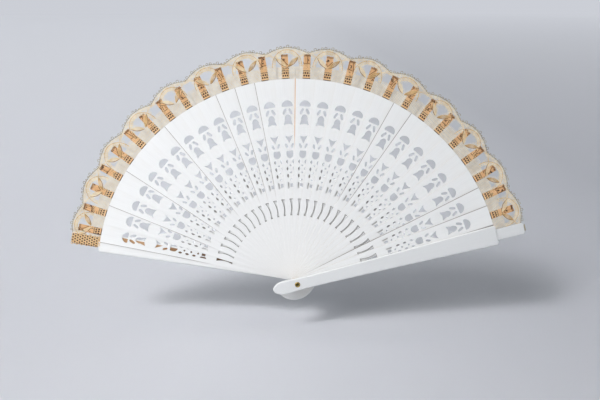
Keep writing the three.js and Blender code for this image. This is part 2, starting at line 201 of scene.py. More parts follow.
# Threads of the lace, in the order of a bay's material slots: light tone, dark tone and sheen
THREAD_LOOKS = {"tulle_thread": ((0.82, 0.72, 0.54), (0.68, 0.55, 0.36), 0.25),
                "cream_thread": ((0.82, 0.69, 0.46), (0.64, 0.48, 0.27), 0.3),
                "gold_thread": ((0.68, 0.45, 0.2), (0.44, 0.27, 0.1), 0.35),
                "olive_cord": ((0.4, 0.34, 0.2), (0.22, 0.18, 0.1), 0.2),
                "binding_thread": ((0.74, 0.52, 0.28), (0.6, 0.38, 0.17), 0.2),
                "glued_thread": ((0.86, 0.61, 0.34), (0.78, 0.47, 0.22), 0.1),
                # Dark brown cord: painted shadow of the lace on a tongue
                "cord_painted_shadow": ((0.3, 0.13, 0.04), (0.16, 0.07, 0.02), 0)}
TULLE, CREAM, GOLD, OLIVE, BINDING, SOAKED, SHADOW_BROWN = range(len(THREAD_LOOKS))
THREAD_ROUGHNESS = 0.72
SHEEN_ROUGHNESS = 0.4

# Lace threads: width across, thickness front to back, and slots where they are free and on a tongue
THREAD_SIDES = 6
# On a tongue, cords and loops take the dark brown of painted shadow
EDGE_CORD = (0.5, 0.3, OLIVE, SHADOW_BROWN)
PICOT_THREAD = (0.42, 0.28, OLIVE, SHADOW_BROWN)
ARCH_CORD = (0.5, 0.3, GOLD, SHADOW_BROWN)
ARCH_THREAD = (0.4, 0.26, CREAM, SOAKED)
RUNG_THREAD = (0.45, 0.26, CREAM, SOAKED)
LACE_LEAF_THREAD = {-1: (0.55, 0.3, GOLD, GOLD), 1: (0.55, 0.3, CREAM, CREAM)}
# Lower edge thread of a leaf, dark brown as a painted shadow
LACE_LEAF_SHADOW_EDGE = (0.55, 0.3, SHADOW_BROWN, SHADOW_BROWN)
TRELLIS_THREAD = (0.45, 0.26, CREAM, SHADOW_BROWN)
OUTLINE_THREAD = (0.6, 0.34, TULLE, SHADOW_BROWN)
FOOT_BAR = (0.5, 0.28, SOAKED, SOAKED)
FOOT_CORD = (0.7, 0.28, SOAKED, SOAKED)
FOOT_TAPE = (1.2, 0.28, SOAKED, SOAKED)

# Motifs of one repeat: places across from the middle of a lobe, and rises above the rim
ARCH_FOOT_RISE = 10.3
ARCH_HALF_WIDTH = 13
ARCH_HEIGHT = 14.9
ARCH_BAND = 2.4
ARCH_STEPS = 44
LACE_LEAF_FOOT = (0.9, 10.4)
LACE_LEAF_POINT = (9.6, 18.6)
LACE_LEAF_HALF_WIDTH = 1.6
LACE_LEAF_THREADS = 5
LACE_LEAF_STEPS = 12
TRELLIS_END = (17.7, 22.4)
TRELLIS_HALF_WIDTH = 0.9
OPENINGS = (((0, 12.2), (5.2, 18.8), (3.8, 21), (0, 21.9)),
            ((4.6, 10.4), (11.8, 10.4), (10.8, 16)),
            ((12.9, 12.6), (REPEAT / 2, 13.4), (REPEAT / 2, 20.2), (14.4, 20.6)))

# Beading on a tongue: its rows, by their rise
FOOT_ROWS = {1.35: FOOT_TAPE, 3.9: FOOT_CORD, 6.2: FOOT_CORD}
FOOT_BAR_SPACING = 2.1
FOOT_HALF_WIDTH = 3.15

# Loops along the scalloped edge
PICOT_SPACING = 2.8
PICOT_RADIUS = 0.75
PICOT_STEPS = 9
PICOT_UNEVENNESS = 0.5
PICOT_TURN = 2.4

# Net of the field: pitch of its cells, thickness, and slots where it is free and on a tongue
FIELD_NET = (1.35, 0.12, TULLE, SOAKED)

# Where that net lies, and the sizes of its holes as a share of a cell
NET_START = 0.6
NET_ON_WOOD = (7, 18.8)
NET_EDGE_MARGIN = 0.5
NET_EDGE_BAND = 2.6
NET_FOOT_RISE = 10
NET_HOLE_FOOT = 0.68
NET_HOLE_BAND = 0.55
NET_HOLE_FIELD = 0.8
NET_HOLE_ON_WOOD = 0.74
HEX_SIDES = 6
HEX_ROW = math.sqrt(3) / 2
NET_KEY = 0.02

# Turned-in start of the strip, which shows past the front guard's tip, and its dense end on the rear
# guard's tip: span along, rises, size of the holes, and net
STRIP_START = ((-2.6, 1.6), (23, 27.6), 0.35, (1.35, 0.12, OLIVE, SHADOW_BROWN))
STRIP_END = ((REAR_END, COLUMNS[-1] + END_HALF_WIDTH), (0.9, 25.2), 0.62,
             (2.5, 0.3, BINDING, BINDING))

# Shares across a bay and a rise in its middle; add_bay works out points there but does not use them
BEND_START = 0.25
BEND_END = 0.75
MIDDLE_RISE = 12

# Camera, fitted to the photograph: its offset from the target is to its own right, upwards and backwards
CAMERA_YAW = 1.49
CAMERA_TILT = 11.15
CAMERA_TARGET = (0, -0.01365, 0)
CAMERA_OFFSET = (0.00229, 0.07485, 0.98)
CAMERA_LENS = 65.73
CAMERA_SENSOR = 36

# Lamps: kind, place in metres, softness of a sun in degrees or size of a disk in metres, and strength
LIGHT_AIM = (-0.05, 0, 0.08)
KEY_PLACE = (-0.55, -0.8, 0.75)
KEY_LAMP = ("SUN", KEY_PLACE, 9, 1.05)
FLOOR_KEY_LAMP = ("SUN", KEY_PLACE, 25, 2.8)
FILL_LAMPS = {"back": ("SUN", (-0.35, 1.5, 0.45), 40, 1.5),
              "right": ("SUN", (1.5, -0.1, 0.45), 40, 0.7),
              "front": ("AREA", (-0.7, -0.9, 0.45), 1.1, 5),
              "side": ("AREA", (-0.5, -0.3, 0.25), 0.4, 0.8)}
WORLD_COLOUR = (0.88, 0.94, 1)
WORLD_STRENGTH = 0.3

# Floor, in metres: where its tone changes from left to right, darker to the right as painted shade, how far
# off it is even, and its fade there
FLOOR_HEIGHT = -0.047
FLOOR_SIZE = 60
FLOOR_CORNERS = ((-1, -1), (1, -1), (1, 1), (-1, 1))
FLOOR_FADE = (-0.1, 0.5)
FLOOR_FAR = 12
FLOOR_FAR_FADE = 0.2
FLOOR_ROUGHNESS = 0.85
FLOOR_LEFT = (0.62, 0.63, 0.665)
FLOOR_RIGHT = (0.33, 0.34, 0.365)
BACKGROUND_LEFT = (0.7, 0.722, 0.78)
BACKGROUND_RIGHT = (0.2, 0.21, 0.235)
BACKGROUND_FAR = (0.6, 0.62, 0.671)

# Colours of the wood, the paint and the brass, as linear values
PAINT_WHITE = (0.86, 0.86, 0.855)
PAINT_STREAK = (0.82, 0.82, 0.815)
PAINT_WARM = (0.83, 0.815, 0.79)
# Grey of the painted shade under the next stick and round the vase slot
PAINTED_SHADE_GREY = (0.27, 0.255, 0.24)
# Grey of the painted shade on a guard's flat outer face
GUARD_PAINTED_SHADE = (0.68, 0.688, 0.695)
WOOD_LIGHT = (0.8, 0.5, 0.26)
WOOD_DARK = (0.6, 0.32, 0.13)
WOOD_PORE = (0.16, 0.06, 0.02)
# Deep brown of painted shade on bare wood, also of its random stains
WOOD_SHADE_AND_STAIN = (0.09, 0.036, 0.013)
# Grey of the line of painted shade along a stick's left edge
SHADE_LINE_GREY = (0.29, 0.25, 0.22)
CUT_EDGE = (0.62, 0.52, 0.42)
PIERCED_WALL = (0.62, 0.58, 0.53)
BRASS_BRIGHT = (0.62, 0.44, 0.16)
BRASS_DARK = (0.1, 0.085, 0.03)

# Noise: features per metre across, along and through a piece, and detail. Where it lets in a second
# tone, also the levels between which that comes in, and how much of it shows if not all
WOOD_GRAIN = ((900, 60, 900), 6, 0.35, 0.68)
WOOD_PORES = ((3000, 150, 3000), 2, 0.62, 0.72, 0, 0.6)
PAINT_STREAKS = ((700, 25, 700), 5, 0.3, 0.7)
PAINT_CLOUDS = ((45, 45, 45), 3, 0.55, 0.8, 0, 0.5)
STAIN_SPOTS = ((330, 330, 330), 1, 0.6, 0.64)
THREAD_TONES = ((220, 220, 220), 3, 0.35, 0.65)
THREAD_FIBRES = ((3200, 3200, 3200), 2)
SURFACE_GRAIN = ((700, 25, 700), 6)
BRASS_PATCHES = ((900, 900, 900), 5)
BRASS_WEAR = (0.3, 0.6, 0.3, 1)

# Noise levels and the roughness at each, and strength and height in metres of a bump
WOOD_ROUGHNESS = (0.3, 0.7, 0.38, 0.56)
BRASS_ROUGHNESS = (0.3, 0.7, 0.28, 0.55)
WOOD_BUMP = (0.25, 0.00012)
BRASS_BUMP = (0.2, 0.0001)
THREAD_BUMP = (0.5, 0.00008)

# Facing of a flat piece's surface, 1 to its front and -1 to its back, over which a tone comes in
CUT_FACING = (0.3, 0.7, 0.7, 0)
OUTER_SHADE_FACING = (0.75, 0.95, 0, 0.72)
INNER_FACING = (-0.9, -0.97)
TIP_SHADE_FACING = (-0.2, -0.4)

# Paint: where it ends on the tongue, the stick whose left edge has lost it from a radius outwards, and the
# sticks whose left edge carries a line of painted shade from a radius outwards
PAINT_END = RIM_RADIUS - 0.2
PAINT_END_FADE = 0.3
WORN_STICK = 13
WORN_WIDTH = 0.8
WORN_START = 118
SHADE_LINE_STICKS = {8: (2,), 76: (7, 8, 15, 16, 17, 20, 23, 25, 27), 115: (1,)}
SHADE_LINE_WIDTH = 0.5
EDGE_BAND_FADE = 20
EDGE_FADE = 0.6

# Under the next stick the right edge carries painted shade; it shows only through that stick's piercings
OVERLAP_SHADE_WIDTH = 2
OVERLAP_SHADE_START = 76

# Cut edges nearer to the outline than this are not the walls of a piercing; round the vase slot is a rim of
# painted shade
OUTLINE_DEPTH = 0.6
VASE_SHADE_RIM_WIDTH = 0.4

# Painted shade darkens the tongue's front at its root and at its end, under the lace
SHADE_ROOT = (7, 7.6, 1, 0)
SHADE_END = (19, 19.6, 0, 0.55)

# Bare wood on a guard's inner face: where it starts across the guard, towards the next stick
BARE_START = -0.6
BARE_FADE = 0.8

# Painted shade on that wood: distances along, and how much shows towards the rivet and further out
GUARD_WOOD_SHADE = (108, 124, 0.9, 0.35)

# Brass: plane of the rivet's head, and radii between which it turns from dark to worn
HEAD_PLANE = (1, 0, 1)
BRASS_RIM = (1.2, 2)

# Mesh making
CURVE_STEPS = 6
SEAM_GAP = 1e-7
SMOOTH_ANGLE = 35
FLAT_FACING = 0.999

# Sockets of Blender's mix node that hold colours
MIX_FIRST = 6
MIX_SECOND = 7
MIX_RESULT = 2


def depths(node):
    """Front and back depth of a CAD node."""
    low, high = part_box(node)
    return low.y / MM, high.y / MM


def link(name, data):
    made = bpy.data.objects.new(name, data)
    bpy.context.scene.collection.objects.link(made)
    return made


def flat_place(index, depth):
    """Matrix that stands a flat piece up at its angle: x across, y outwards, z to the front."""
    turn = math.radians(ANGLES[index])
    across = Vector((math.sin(turn), 0, -math.cos(turn)))
    outwards = Vector((math.cos(turn), 0, math.sin(turn)))
    rotation = Matrix((across, outwards, FRONT)).transposed().to_4x4()
    return Matrix.Translation((0, depth * MM, 0)) @ rotation


def circle_points(count, shift=0):
    """Even points round a circle of radius 1, moved on by a part of a step."""
    turns = [2 * math.pi * (step + shift) / count for step in range(count)]
    return [(math.cos(turn), math.sin(turn)) for turn in turns]


def sides_of(corners):
    """Pairs of neighbouring corners round a closed outline."""
    return zip(corners, (*corners[1:], corners[0]))


def ring_faces(first, second, count):
    """Faces between two rings of points, each given by the number of its first point."""
    return [(first + step, first + after, second + after, second + step)
            for step, after in sides_of(range(count))]


def spaced(start, end, step):
    count = max(1, round((end - start) / step))
    return [start + (end - start) * index / count for index in range(count + 1)]


class Value:
    """What a shader node gives. Calculating with it adds further nodes."""

    def __init__(self, tree, socket):
        self.tree = tree
        self.socket = socket

    def calculate(self, operation, other=0):
        return new_value(self.tree, "Math", "Value", {0: self, 1: other}, operation=operation)

    __add__ = partialmethod(calculate, "ADD")
    __sub__ = partialmethod(calculate, "SUBTRACT")
    __mul__ = partialmethod(calculate, "MULTIPLY")
    __truediv__ = partialmethod(calculate, "DIVIDE")
    __gt__ = partialmethod(calculate, "GREATER_THAN")
    __lt__ = partialmethod(calculate, "LESS_THAN")
    __or__ = partialmethod(calculate, "MAXIMUM")
    __abs__ = partialmethod(calculate, "ABSOLUTE")

    def ramp(self, low, high, start=0, end=1):
        """Value mapped from low..high to start..end, and held there beyond."""
        levels = {"From Min": low, "From Max": high, "To Min": start, "To Max": end}
        return new_value(self.tree, "MapRange", "Result", {"Value": self, **levels})

    def axis(self, name):
        return new_value(self.tree, "SeparateXYZ", name, {"Vector": self})

    def length(self):
        return new_value(self.tree, "VectorMath", "Value", {0: self}, operation="LENGTH")

    def stretched(self, scales):
        return new_value(self.tree, "Mapping", "Vector", {"Vector": self, "Scale": scales})

    def noise(self, scales, detail):
        inputs = {"Vector": self.stretched(scales), "Scale": 1, "Detail": detail}
        return new_value(self.tree, "TexNoise", "Fac", inputs)

    def spots(self, scales, detail, *levels):
        return self.noise(scales, detail).ramp(*levels)

    def bump(self, strength, distance):
        inputs = {"Height": self, "Strength": strength, "Distance": distance}
        return new_value(self.tree, "Bump", "Normal", inputs)


def feed(socket, value):
    """Sets a node's input to a number, a colour, a vector or what another node gives."""
    if isinstance(value, Value):
        value.tree.links.new(value.socket, socket)
    elif socket.type == "RGBA":
        socket.default_value = (*value, 1)
    else:
        socket.default_value = value


def new_value(tree, kind, output, inputs, **settings):
    """One output of a new node; the inputs are given by name or number."""
    node = tree.nodes.new(f"ShaderNode{kind}")
    for name, setting in settings.items():
        setattr(node, name, setting)
    for name, value in inputs.items():
        feed(node.inputs[name], value)
    return Value(tree, node.outputs[output])


def mix(factor, first, second):
    """Colour between two others."""
    inputs = {"Factor": factor, MIX_FIRST: first, MIX_SECOND: second}
    return new_value(factor.tree, "Mix", MIX_RESULT, inputs, data_type="RGBA")


def new_material(name):
    """New material, and the place on its object that it colours."""
    material = bpy.data.materials.new(name)
    material.use_nodes = True
    return material, new_value(material.node_tree, "TexCoord", "Object", {})


def finish_material(material, looks):
    """Material with its shader's inputs set by name."""
    shader = material.node_tree.nodes["Principled BSDF"]
    for name, value in looks.items():
        feed(shader.inputs[name], value)
    return material


def own_grain(coords):
    """Coordinates shifted for each object, so that no two have the same grain."""
    shift = new_value(coords.tree, "ObjectInfo", "Random", {})
    return new_value(coords.tree, "VectorMath", "Vector", {0: coords, 1: shift}, operation="ADD")


def flat_axes(coords):
    """Distances in millimetres across and along a flat piece."""
    return coords.axis("X") / MM, coords.axis("Y") / MM


def facing(coords):
    """How far a flat piece's surface faces its front: 1 there, 0 on cut edges and -1 on the back."""
    return new_value(coords.tree, "TexCoord", "Normal", {}).axis("Z")


def wood_colour(coords):
    """Bare warm wood, its grain running along the piece."""
    coords = own_grain(coords)
    wood = mix(coords.spots(*WOOD_GRAIN), WOOD_DARK, WOOD_LIGHT)
    return mix(coords.spots(*WOOD_PORES), wood, WOOD_PORE)


def paint_colour(coords):
    """Thin white paint with faint streaks of the grain below it."""
    paint = mix(coords.spots(*PAINT_STREAKS), PAINT_STREAK, PAINT_WHITE)
    return mix(coords.spots(*PAINT_CLOUDS), paint, PAINT_WARM)


def wood_finish(coords):
    """Roughness and bump that painted and bare wood share."""
    grain = coords.noise(*SURFACE_GRAIN)
    return {"Roughness": grain.ramp(*WOOD_ROUGHNESS), "Normal": grain.bump(*WOOD_BUMP)}


def half_width(along):
    """Half the width of a stick at a distance along it."""
    half = STICK_SIDE[0][0]
    for (before, start), (after, end) in zip(STICK_SIDE, STICK_SIDE[1:]):
        half = along.ramp(start, end, 0, after - before) + half
    return half


def edge_band(across, along, width, start):
    """Mask of a narrow band along a stick's left edge, from a start radius outwards."""
    band = (across + half_width(along)).ramp(width, EDGE_FADE * width)
    return band * along.ramp(start, start + EDGE_BAND_FADE)


def cut_colour(across, along):
    """Warm bare wood on the outer edges, and paler wood on the walls of the piercings."""
    return mix(abs(across) > half_width(along) - OUTLINE_DEPTH, PIERCED_WALL, CUT_EDGE)


def tongue_colour(coords, rise, on_front):
    """Bare wood with random stains, and painted shade at the root and the end of the tongue's front."""
    shade_and_stain = rise.ramp(*SHADE_ROOT) | rise.ramp(*SHADE_END) | own_grain(coords).spots(*STAIN_SPOTS)
    return mix(shade_and_stain * on_front, wood_colour(coords), WOOD_SHADE_AND_STAIN)


def vase_shade_rim(across, along):
    """Mask of the narrow band of painted shade round the vase slot."""
    half_length = VASE_LENGTH / 2
    from_middle = abs(along - (VASE_START + half_length))
    share = from_middle / half_length
    flare = share * share * (VASE_HALF_WIDTH - VASE_WAIST_HALF_WIDTH)
    near_side = abs(across) - flare < VASE_WAIST_HALF_WIDTH + VASE_SHADE_RIM_WIDTH
    near_end = from_middle < half_length + VASE_SHADE_RIM_WIDTH
    return near_side * near_end


def stick_material(name, shade_line_from=None, worn_from=None):
    """White paint up to the rim, bare wood on the tongue and warm cut edges, with painted shade on the right
    edge under the next stick and round the vase slot. From the given radius outwards a left edge that lies
    over its neighbour carries a grey line of painted shade, and a worn one has lost its paint."""
    material, coords = new_material(name)
    across, along = flat_axes(coords)
    on_front = facing(coords) > 0
    # Painted shade on the right edge, where the next stick lies over it
    overlap_shade = edge_band(across * -1, along, OVERLAP_SHADE_WIDTH, OVERLAP_SHADE_START) * on_front
    colour = mix(overlap_shade, paint_colour(coords), PAINTED_SHADE_GREY)
    colour = mix(abs(facing(coords)).ramp(*CUT_FACING), colour, cut_colour(across, along))
    # Painted shade round the vase slot, for the shadow of its walls
    colour = mix(vase_shade_rim(across, along), colour, PAINTED_SHADE_GREY)
    # A grey line of painted shade along the left edge, where it lies over its neighbour
    if shade_line_from:
        colour = mix(edge_band(across, along, SHADE_LINE_WIDTH, shade_line_from), colour, SHADE_LINE_GREY)
    if worn_from:
        colour = mix(edge_band(across, along, WORN_WIDTH, worn_from), colour, wood_colour(coords))
    tongue = along.ramp(PAINT_END, PAINT_END + PAINT_END_FADE)
    colour = mix(tongue, colour, tongue_colour(coords, along - RIM_RADIUS, on_front))
    return finish_material(material, {"Base Color": colour, **wood_finish(coords)})


def guard_material():
    """White paint, greyed by painted shade on the flat outer face. Half of the inner face, which the next
    stick covers, is bare wood, darkened towards the rivet by painted shade, and the inside of the tip, where
    the lace is glued on, is dark brown with painted shade."""
    material, coords = new_material("guard_paint")
    across, along = flat_axes(coords)
    # Painted shade greys the flat outer face; its bevels stay white
    paint = mix(facing(coords).ramp(*OUTER_SHADE_FACING), paint_colour(coords), GUARD_PAINTED_SHADE)
    # Painted shade darkens the bare wood towards the rivet
    wood = mix(along.ramp(*GUARD_WOOD_SHADE), wood_colour(coords), WOOD_SHADE_AND_STAIN)
    covered = across.ramp(BARE_START, BARE_START - BARE_FADE)
    colour = mix(facing(coords).ramp(*INNER_FACING) * covered, paint, wood)
    # Painted shade darkens the inside of the tip under the lace
    tip = along.ramp(GUARD_SHOULDER, GUARD_SHOULDER + BARE_FADE)
    colour = mix(facing(coords).ramp(*TIP_SHADE_FACING) * tip, colour, WOOD_SHADE_AND_STAIN)
    return finish_material(material, {"Base Color": colour, **wood_finish(coords)})


def brass_material():
    """Aged brass: dark olive in the hollow of the head, bright on the worn rim."""
    material, coords = new_material("aged_brass")
    patches = coords.noise(*BRASS_PATCHES)
    rim = (coords.stretched(HEAD_PLANE).length() / MM).ramp(*BRASS_RIM)
    return finish_material(material, {
        "Base Color": mix(rim * patches.ramp(*BRASS_WEAR), BRASS_DARK, BRASS_BRIGHT),
        "Metallic": 1,
        "Roughness": patches.ramp(*BRASS_ROUGHNESS),
        "Normal": patches.bump(*BRASS_BUMP)})


def thread_material(name, light, dark, sheen):
    """Twisted thread: two tones, a fine fibre bump and a soft sheen."""
    material, coords = new_material(name)
    return finish_material(material, {
        "Base Color": mix(coords.spots(*THREAD_TONES), dark, light),
        "Roughness": THREAD_ROUGHNESS,
        "Sheen Weight": sheen,
        "Sheen Roughness": SHEEN_ROUGHNESS,
        "Normal": coords.noise(*THREAD_FIBRES).bump(*THREAD_BUMP)})


def show_tone(tree, lit, tone, share, end):
    """Mixes a tone into what the camera, metal and glass see of a lit surface or of the world."""
    rays = [new_value(tree, "LightPath", kind, {})
            for kind in ("Is Camera Ray", "Is Glossy Ray", "Is Transmission Ray")]
    seen = rays[0] | rays[1] | rays[2]
    shaders = {"Fac": seen * share, 1: Value(tree, lit), 2: tone}
    feed(tree.nodes[end].inputs["Surface"], new_value(tree, "MixShader", "Shader", shaders))


def floor_material():
    """Pale paper, with painted shade that darkens it towards the right. Near the fan it keeps the shadow,
    and further off the camera, metal and glass see more and more of an even background tone."""
    material, coords = new_material("floor_paper")
    tree = material.node_tree
    far = (coords.length() + 1).calculate("LOGARITHM", FLOOR_FAR).ramp(0, 1)
    near = far.ramp(0, 1, 1, 0)
    # Painted shade: the paper and its background tone darken towards the right
    fade = (coords.axis("X").ramp(*FLOOR_FADE) - FLOOR_FAR_FADE) * near + FLOOR_FAR_FADE
    background = {"Color": mix(fade, BACKGROUND_LEFT, BACKGROUND_RIGHT)}
    glow = new_value(tree, "Emission", "Emission", background)
    show_tone(tree, tree.nodes["Principled BSDF"].outputs["BSDF"], glow, far, "Material Output")
    paper = mix(fade, FLOOR_LEFT, FLOOR_RIGHT)
    return finish_material(material, {"Base Color": paper, "Roughness": FLOOR_ROUGHNESS})


def finish_mesh(mesh):
    """Closes a new mesh's seams, turns its faces outwards and smooths its gentle edges. Faces square to z,
    the front and back of a flat piece, stay flat."""
    shape = bmesh.new()
    shape.from_mesh(mesh)
    bmesh.ops.remove_doubles(shape, verts=shape.verts, dist=SEAM_GAP)
    bmesh.ops.recalc_face_normals(shape, faces=shape.faces)
    shape.to_mesh(mesh)
    shape.free()
    mesh.shade_smooth()
    mesh.set_sharp_from_angle(angle=math.radians(SMOOTH_ANGLE))
    for face in mesh.polygons:
        face.use_smooth = abs(face.normal.z) < FLAT_FACING
    return mesh


def baked_mesh(piece):
    """The mesh of an object with its modifiers or curve settings applied."""
    bpy.context.view_layer.update()
    shown = piece.evaluated_get(bpy.context.evaluated_depsgraph_get())
    return bpy.data.meshes.new_from_object(shown)


def mirrored(right_half):
    """Closed outline from its right half, listed from end to end."""
    left_half = [(-across, along, kind) for across, along, kind in reversed(right_half) if across > 0]
    return [*right_half, *left_half]


def plate_mesh(name, outlines, thickness, rounding, rounding_steps):
    """Flat plate with rounded edges, its back at z = 0: the first outline with the others cut out."""
    curve = bpy.data.curves.new(name, "CURVE")
    curve.dimensions = "2D"
    curve.fill_mode = "BOTH"
    curve.resolution_u = CURVE_STEPS
    curve.extrude = thickness / 2 - rounding
    curve.bevel_depth = rounding
    curve.offset = -rounding
    curve.bevel_resolution = rounding_steps
    for outline in outlines:
        spline = curve.splines.new("BEZIER")
        spline.bezier_points.add(len(outline) - 1)
        for knot, (across, along, kind) in zip(spline.bezier_points, outline):
            knot.co = (across, along, 0)
            knot.handle_left_type = kind
            knot.handle_right_type = kind
        spline.use_cyclic_u = True
    holder = link(name, curve)
    mesh = baked_mesh(holder)
    bpy.data.objects.remove(holder)
    bpy.data.curves.remove(curve)
    mesh.transform(Matrix.Scale(MM, 4) @ Matrix.Translation((0, 0, thickness / 2)))
    return finish_mesh(mesh)


def on_axis(start, right_half):
    """Piercing on the stick's axis."""
    return mirrored([(across, start + along, kind) for across, along, kind in right_half])


def petal_pair(places, start, length, width):
    """Two slanted ovals beside the axis."""
    petals = []
    for side in SIDES:
        foot = Vector((side * places[0], start))
        point = Vector((side * places[1], start + length))
        along = (point - foot).normalized()
        half = Vector((-along.y, along.x)) * width / 2
        middle = (foot + point) / 2
        petals.append([(*place, SOFT) for place in (foot, middle - half, point, middle + half)])
    return petals


def slits():
    """Upright slits beside the axis, the outer edge of each the longer one."""
    end = SLIT_START + SLIT_LENGTH
    corners = ((SLIT_OUTER, SLIT_START), (SLIT_OUTER, end), (SLIT_INNER, end - SLIT_SLANT),
               (SLIT_INNER, SLIT_START + SLIT_SLANT))
    return [[(side * across, along, SHARP) for across, along in corners] for side in SIDES]


def drop(across, start, length, width):
    """Upright drop with pointed ends."""
    middle = start + length / 2
    half = width / 2
    return [(across, start, SHARP), (across + half, middle, SOFT), (across, start + length, SHARP),
            (across - half, middle, SOFT)]


def lattice():
    """Rows of a small diamond and two drops above it."""
    holes = []
    for row in range(LATTICE_ROWS):
        start = LATTICE_START + row * LATTICE_PITCH
        edge_start = start + LATTICE_PITCH - LATTICE_HOLE_LENGTH
        holes.append(drop(0, start, LATTICE_DIAMOND, LATTICE_DIAMOND))
        for side in SIDES:
            holes.append(drop(side * LATTICE_OFFSET, edge_start, LATTICE_HOLE_LENGTH, LATTICE_HOLE_WIDTH))
    return holes


def heel(length, half_width):
    """Right half of a rounded heel, from its end to the straight side."""
    reach = length - HEEL_ROUND_START
    turn = math.radians(HEEL_SHOULDER_TURN)
    shoulder = (half_width * math.sin(turn), -HEEL_ROUND_START - reach * math.cos(turn))
    return [(0, -length, SOFT), (*shoulder, SOFT), (half_width, -HEEL_ROUND_START, SOFT)]


def stick_mesh():
    *side, (rim_half_width, _) = STICK_SIDE
    outline = mirrored([*heel(*STICK_HEEL),
                        *((*place, SOFT) for place in side),
                        (rim_half_width, math.sqrt(RIM_RADIUS ** 2 - rim_half_width ** 2), SHARP),
                        (TONGUE_ROOT_HALF_WIDTH, RIM_RADIUS, SHARP),
                        (TONGUE_END_HALF_WIDTH, RIM_RADIUS + TONGUE_LENGTH, SHARP)])
    rivet_hole = [(HOLE_RADIUS * x, HOLE_RADIUS * y, SOFT) for x, y in circle_points(HOLE_KNOTS)]
    piercings = [rivet_hole, on_axis(VASE_START, VASE), *slits(), on_axis(BLOCK_START, BLOCK), *lattice(),
                 on_axis(BARREL_START, BARREL), *petal_pair(BUD_PLACES, BUD_START, BUD_LENGTH, BUD_WIDTH),
                 on_axis(HEART_START, HEART), on_axis(BELL_START, BELL),
                 *petal_pair(LEAF_PLACES, LEAF_START, LEAF_LENGTH, LEAF_WIDTH), on_axis(CAP_START, CAP)]
    return plate_mesh("stick", [outline, *piercings], STICK_THICKNESS, *STICK_ROUNDING)


def drum(radius, start, end):
    """Round bar along z, for cutting."""
    mesh = bpy.data.meshes.new("drum")
    shape = bmesh.new()
    bmesh.ops.create_cone(shape, cap_ends=True, segments=ROUND_STEPS, radius1=radius * MM,
                          radius2=radius * MM, depth=(end - start) * MM,
                          matrix=Matrix.Translation((0, 0, (start + end) / 2 * MM)))
    shape.to_mesh(mesh)
    shape.free()
    return mesh


def combined(mesh, tool_mesh, operation):
    """Mesh joined with another one or cut by it."""
    piece = link("shape", mesh)
    tool = link("tool", tool_mesh)
    modifier = piece.modifiers.new("combine", "BOOLEAN")
    modifier.operation = operation
    modifier.object = tool
    made = baked_mesh(piece)
    for used in (piece, tool):
        bpy.data.objects.remove(used)
    return finish_mesh(made)


def guard_mesh():
    """Guard with its inner face at z = 0, a thinner tip, the rivet's hole and its sunk seat."""
    body_outline = mirrored([*heel(*GUARD_HEEL),
                             *((*place, SOFT) for place in GUARD_SIDE),
                             (GUARD_SHOULDER_HALF_WIDTH, GUARD_SHOULDER - GUARD_CORNER, SHARP),
                             (GUARD_SHOULDER_HALF_WIDTH - GUARD_CORNER, GUARD_SHOULDER, SHARP)])
    tip_outline = mirrored([(GUARD_TIP_HALF_WIDTH - GUARD_CORNER, GUARD_END, SHARP),
                            (GUARD_TIP_HALF_WIDTH, GUARD_END - GUARD_CORNER, SHARP),
                            (GUARD_TIP_HALF_WIDTH, GUARD_TIP_ROOT, SHARP)])
    body = plate_mesh("guard", [body_outline], GUARD_THICKNESS, *GUARD_ROUNDING)
    tip = plate_mesh("tip", [tip_outline], GUARD_TIP_THICKNESS, *GUARD_TIP_ROUNDING)
    hole = drum(HOLE_RADIUS, -DRILL_OVERRUN, GUARD_THICKNESS + DRILL_OVERRUN)
    seat = drum(SEAT_RADIUS, GUARD_THICKNESS - SEAT_DEPTH, GUARD_THICKNESS + DRILL_OVERRUN)
    drilled = combined(combined(body, tip, "UNION"), hole, "DIFFERENCE")
    return combined(drilled, seat, "DIFFERENCE")


def lathe_mesh(name, profile):
    """Solid of revolution about the rivet's axis from (radius, depth) points, closed at its ends."""
    points = []
    faces = []
    for row, (radius, depth) in enumerate(profile):
        if row:
            faces.extend(ring_faces(len(points) - ROUND_STEPS, len(points), ROUND_STEPS))
        points.extend(Vector((radius * x, depth, radius * z)) * MM for x, z in circle_points(ROUND_STEPS))
    mesh = bpy.data.meshes.new(name)
    mesh.from_pydata(points, [], faces)
    return finish_mesh(mesh)


def rivet_mesh():
    front = depths("front_guard")[0]
    end = depths("rivet")[1]
    head = [(radius, front + depth) for radius, depth in HEAD_PROFILE]
    shank = [(SHANK_RADIUS, end - SHANK_ROUNDING), (SHANK_RADIUS - SHANK_ROUNDING, end), (0, end)]
    return lathe_mesh("rivet", [*head, *shank])


def washer_mesh():
    inside, outside = depths("rivet_washer")
    shoulder = outside - WASHER_ROUNDING
    return lathe_mesh("rivet_washer", [
        (HOLE_RADIUS, inside), (HEAD_RADIUS, inside), (HEAD_RADIUS, shoulder),
        (HEAD_RADIUS - WASHER_ROUNDING, outside), (HOLE_RADIUS + WASHER_ROUNDING, outside),
        (HOLE_RADIUS, shoulder), (HOLE_RADIUS, inside)])


def add_piece(name, mesh, material, node, body, place):
    """Rigid piece that stands for a CAD node and rides on a body."""
    mesh.materials.clear()
    mesh.materials.append(material)
    piece = link(name, mesh)
    piece.matrix_world = place
    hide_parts(node)
    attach(piece, body)


def add_sticks():
    shared = stick_mesh()
    plain = stick_material("stick_paint")
    own_materials = {WORN_STICK: stick_material("stick_paint_worn", worn_from=WORN_START)}
    for start, sticks in SHADE_LINE_STICKS.items():
        shade_lined = stick_material(f"stick_paint_shade_line_{start}", shade_line_from=start)
        own_materials.update(dict.fromkeys(sticks, shade_lined))
    for index in range(1, REAR_INDEX):
        node = BODIES[index]
        material = own_materials.get(index, plain)
        place = flat_place(index, depths(node)[1])
        add_piece(f"blade_{index:02d}", shared.copy(), material, node, node, place)


